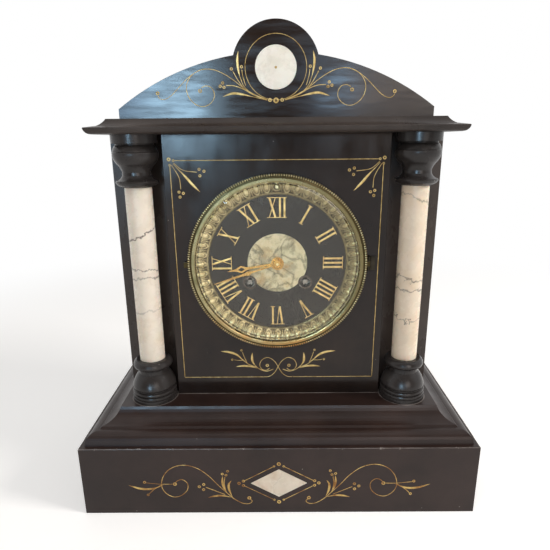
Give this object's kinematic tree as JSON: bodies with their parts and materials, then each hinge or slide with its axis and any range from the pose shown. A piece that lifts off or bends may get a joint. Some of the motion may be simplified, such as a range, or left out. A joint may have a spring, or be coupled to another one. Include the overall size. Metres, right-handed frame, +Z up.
{
  "type": "mantel_clock",
  "caption": "Black slate mantel clock with veined marble columns, a round hinged bezel, a striking movement and a pendulum.",
  "frame": {"origin": "on the shelf, under the middle of the plinth", "axes": "the dial faces -Y, +X is to the viewer's right and +Z is up"},
  "size_m": [0.329, 0.155, 0.3894],
  "materials": {
    "black_slate": "polished slate",
    "dark_slate": "turned and polished slate",
    "rough_slate": "sawn slate",
    "white_marble": "polished white marble",
    "veined_marble": "polished marble with dark veins",
    "dial_marble": "honed marble with grey clouds",
    "aged_brass": "aged lacquered brass",
    "gilt_brass": "gilt brass",
    "clock_brass": "polished and lacquered brass",
    "bell_metal": "turned bell metal",
    "steel": "polished steel",
    "blued_steel": "blued steel",
    "glass": "clear bevelled glass"
  },
  "bodies": {
    "root": {"plinth_floor": "rough_slate", "plinth_front_slab": "black_slate", "plinth_back_slab": "black_slate", "plinth_side_slabs": "black_slate", "diamond_inlay": "white_marble", "plinth_moulding": "black_slate", "front_panel": "black_slate", "front_wall": "black_slate", "side_walls": "black_slate", "back_wall": "rough_slate", "column_bases": "dark_slate", "column_shafts": "veined_marble", "column_capitals": "dark_slate", "cornice": "black_slate", "pediment": "black_slate", "roundel_inlay": "white_marble", "dial_mount_ring": "aged_brass", "sight_ring": "aged_brass", "dial_plate": "black_slate", "dial_centre": "dial_marble", "winding_bushes": "aged_brass", "bezel_hinge_leaf": "aged_brass", "bezel_hinge_pin": "aged_brass", "front_plate": "clock_brass", "back_plate": "clock_brass", "plate_pillars": "clock_brass", "movement_screws": "blued_steel", "movement_straps": "aged_brass", "bell": "bell_metal", "bell_stand": "steel", "suspension_cock": "clock_brass", "back_ring": "aged_brass"},
    "bezel": {"bezel_ring": "aged_brass", "bezel_glass": "glass"},
    "back_door": {"back_door": "aged_brass"},
    "minute_work": {"centre_wheel": "clock_brass", "minute_hand": "gilt_brass"},
    "minute_wheel_work": {"minute_wheel": "clock_brass"},
    "hour_work": {"hour_wheel": "clock_brass", "hour_hand": "gilt_brass"},
    "intermediate": {"intermediate_wheel": "clock_brass"},
    "going_barrel_work": {"going_barrel": "clock_brass"},
    "third": {"third_wheel": "clock_brass"},
    "escape": {"escape_wheel": "clock_brass"},
    "going_arbor": {"going_winding_arbor": "steel"},
    "going_click_body": {"going_click": "steel"},
    "pin_wheel_work": {"pin_wheel": "clock_brass"},
    "strike_barrel_work": {"strike_barrel": "clock_brass", "count_wheel": "clock_brass"},
    "locking": {"locking_wheel": "clock_brass"},
    "fly_body": {"fly": "clock_brass"},
    "strike_arbor": {"strike_winding_arbor": "steel"},
    "strike_click_body": {"strike_click": "steel"},
    "hammer_body": {"hammer": "steel"},
    "pendulum": {"pendulum_rod": "steel", "pendulum_bob": "clock_brass", "rating_nut": "clock_brass"},
    "pallets": {"pallets_and_crutch": "steel"},
    "regulator": {"regulator_arbor": "clock_brass"},
    "chops": {"suspension_chops": "clock_brass"}
  },
  "joints": [
    {"name": "bezel_swing", "type": "hinge", "parent": "root", "child": "bezel", "pos_m": [0.0758, -0.0293, 0.2057], "axis": [0, 0, 1], "range_deg": [0, 115]},
    {"name": "back_door_swing", "type": "hinge", "parent": "root", "child": "back_door", "pos_m": [0.0698, 0.0759, 0.2057], "axis": [0, 0, -1], "range_deg": [0, 110]},
    {"name": "minute_turn", "type": "hinge", "parent": "root", "child": "minute_work", "pos_m": [0, 0, 0.2057], "axis": [0, 1, 0], "continuous": true},
    {"name": "minute_wheel_turn", "type": "hinge", "parent": "root", "child": "minute_wheel_work", "pos_m": [0, -0.014, 0.2183], "axis": [0, 1, 0], "continuous": true},
    {"name": "hour_turn", "type": "hinge", "parent": "root", "child": "hour_work", "pos_m": [0, -0.016, 0.2057], "axis": [0, 1, 0], "continuous": true},
    {"name": "intermediate_turn", "type": "hinge", "parent": "root", "child": "intermediate", "pos_m": [0.01704, 0, 0.2115], "axis": [0, 1, 0], "continuous": true},
    {"name": "going_barrel_turn", "type": "hinge", "parent": "root", "child": "going_barrel_work", "pos_m": [0.0235, 0, 0.1889], "axis": [0, 1, 0], "continuous": true},
    {"name": "third_turn", "type": "hinge", "parent": "root", "child": "third", "pos_m": [-0.00819, 0, 0.21989], "axis": [0, 1, 0], "continuous": true},
    {"name": "escape_turn", "type": "hinge", "parent": "root", "child": "escape", "pos_m": [0, 0, 0.23407], "axis": [0, 1, 0], "continuous": true},
    {"name": "going_winding", "type": "hinge", "parent": "root", "child": "going_arbor", "pos_m": [0.0235, -0.014, 0.1889], "axis": [0, 1, 0], "continuous": true},
    {"name": "going_click_swing", "type": "hinge", "parent": "root", "child": "going_click_body", "pos_m": [0.032, -0.013, 0.1777], "axis": [0, 1, 0], "range_deg": [-12, 0]},
    {"name": "pin_wheel_turn", "type": "hinge", "parent": "root", "child": "pin_wheel_work", "pos_m": [-0.02758, 0, 0.21204], "axis": [0, 1, 0], "continuous": true},
    {"name": "strike_barrel_turn", "type": "hinge", "parent": "root", "child": "strike_barrel_work", "pos_m": [-0.0235, 0, 0.1889], "axis": [0, 1, 0], "continuous": true},
    {"name": "locking_turn", "type": "hinge", "parent": "root", "child": "locking", "pos_m": [-0.03251, 0, 0.22557], "axis": [0, 1, 0], "continuous": true},
    {"name": "fly_turn", "type": "hinge", "parent": "root", "child": "fly_body", "pos_m": [-0.02572, 0, 0.23236], "axis": [0, 1, 0], "continuous": true},
    {"name": "strike_winding", "type": "hinge", "parent": "root", "child": "strike_arbor", "pos_m": [-0.0235, -0.014, 0.1889], "axis": [0, 1, 0], "continuous": true},
    {"name": "strike_click_swing", "type": "hinge", "parent": "root", "child": "strike_click_body", "pos_m": [-0.032, -0.013, 0.1777], "axis": [0, 1, 0], "range_deg": [0, 12]},
    {"name": "hammer_swing", "type": "hinge", "parent": "root", "child": "hammer_body", "pos_m": [-0.0445, 0.03, 0.2152], "axis": [0, 1, 0], "range_deg": [-0.8, 12]},
    {"name": "pendulum_swing", "type": "hinge", "parent": "root", "child": "pendulum", "pos_m": [0, 0.031, 0.2468], "axis": [0, 1, 0], "range_deg": [-3, 3]},
    {"name": "pallets_rock", "type": "hinge", "parent": "root", "child": "pallets", "pos_m": [0, 0.01, 0.2468], "axis": [0, 1, 0], "range_deg": [-3, 3]},
    {"name": "regulator_turn", "type": "hinge", "parent": "root", "child": "regulator", "pos_m": [0, 0, 0.269], "axis": [0, 1, 0], "range_deg": [-720, 720]},
    {"name": "chops_slide", "type": "slide", "parent": "root", "child": "chops", "axis": [0, 0, 1], "range_m": [-0.0008, 0.0008]}
  ],
  "couplings": [
    {"joint": "minute_wheel_turn", "follows": "minute_turn", "ratio": -0.33333},
    {"joint": "hour_turn", "follows": "minute_turn", "ratio": 0.083333},
    {"joint": "intermediate_turn", "follows": "minute_turn", "ratio": -0.125},
    {"joint": "going_barrel_turn", "follows": "minute_turn", "ratio": 0.014881},
    {"joint": "third_turn", "follows": "minute_turn", "ratio": -12},
    {"joint": "escape_turn", "follows": "minute_turn", "ratio": 144},
    {"joint": "strike_barrel_turn", "follows": "pin_wheel_turn", "ratio": -0.11905},
    {"joint": "locking_turn", "follows": "pin_wheel_turn", "ratio": -8},
    {"joint": "fly_turn", "follows": "pin_wheel_turn", "ratio": 40},
    {"joint": "pallets_rock", "follows": "pendulum_swing", "ratio": 1},
    {"joint": "regulator_turn", "follows": "chops_slide", "rad_per_m": 15708}
  ]
}
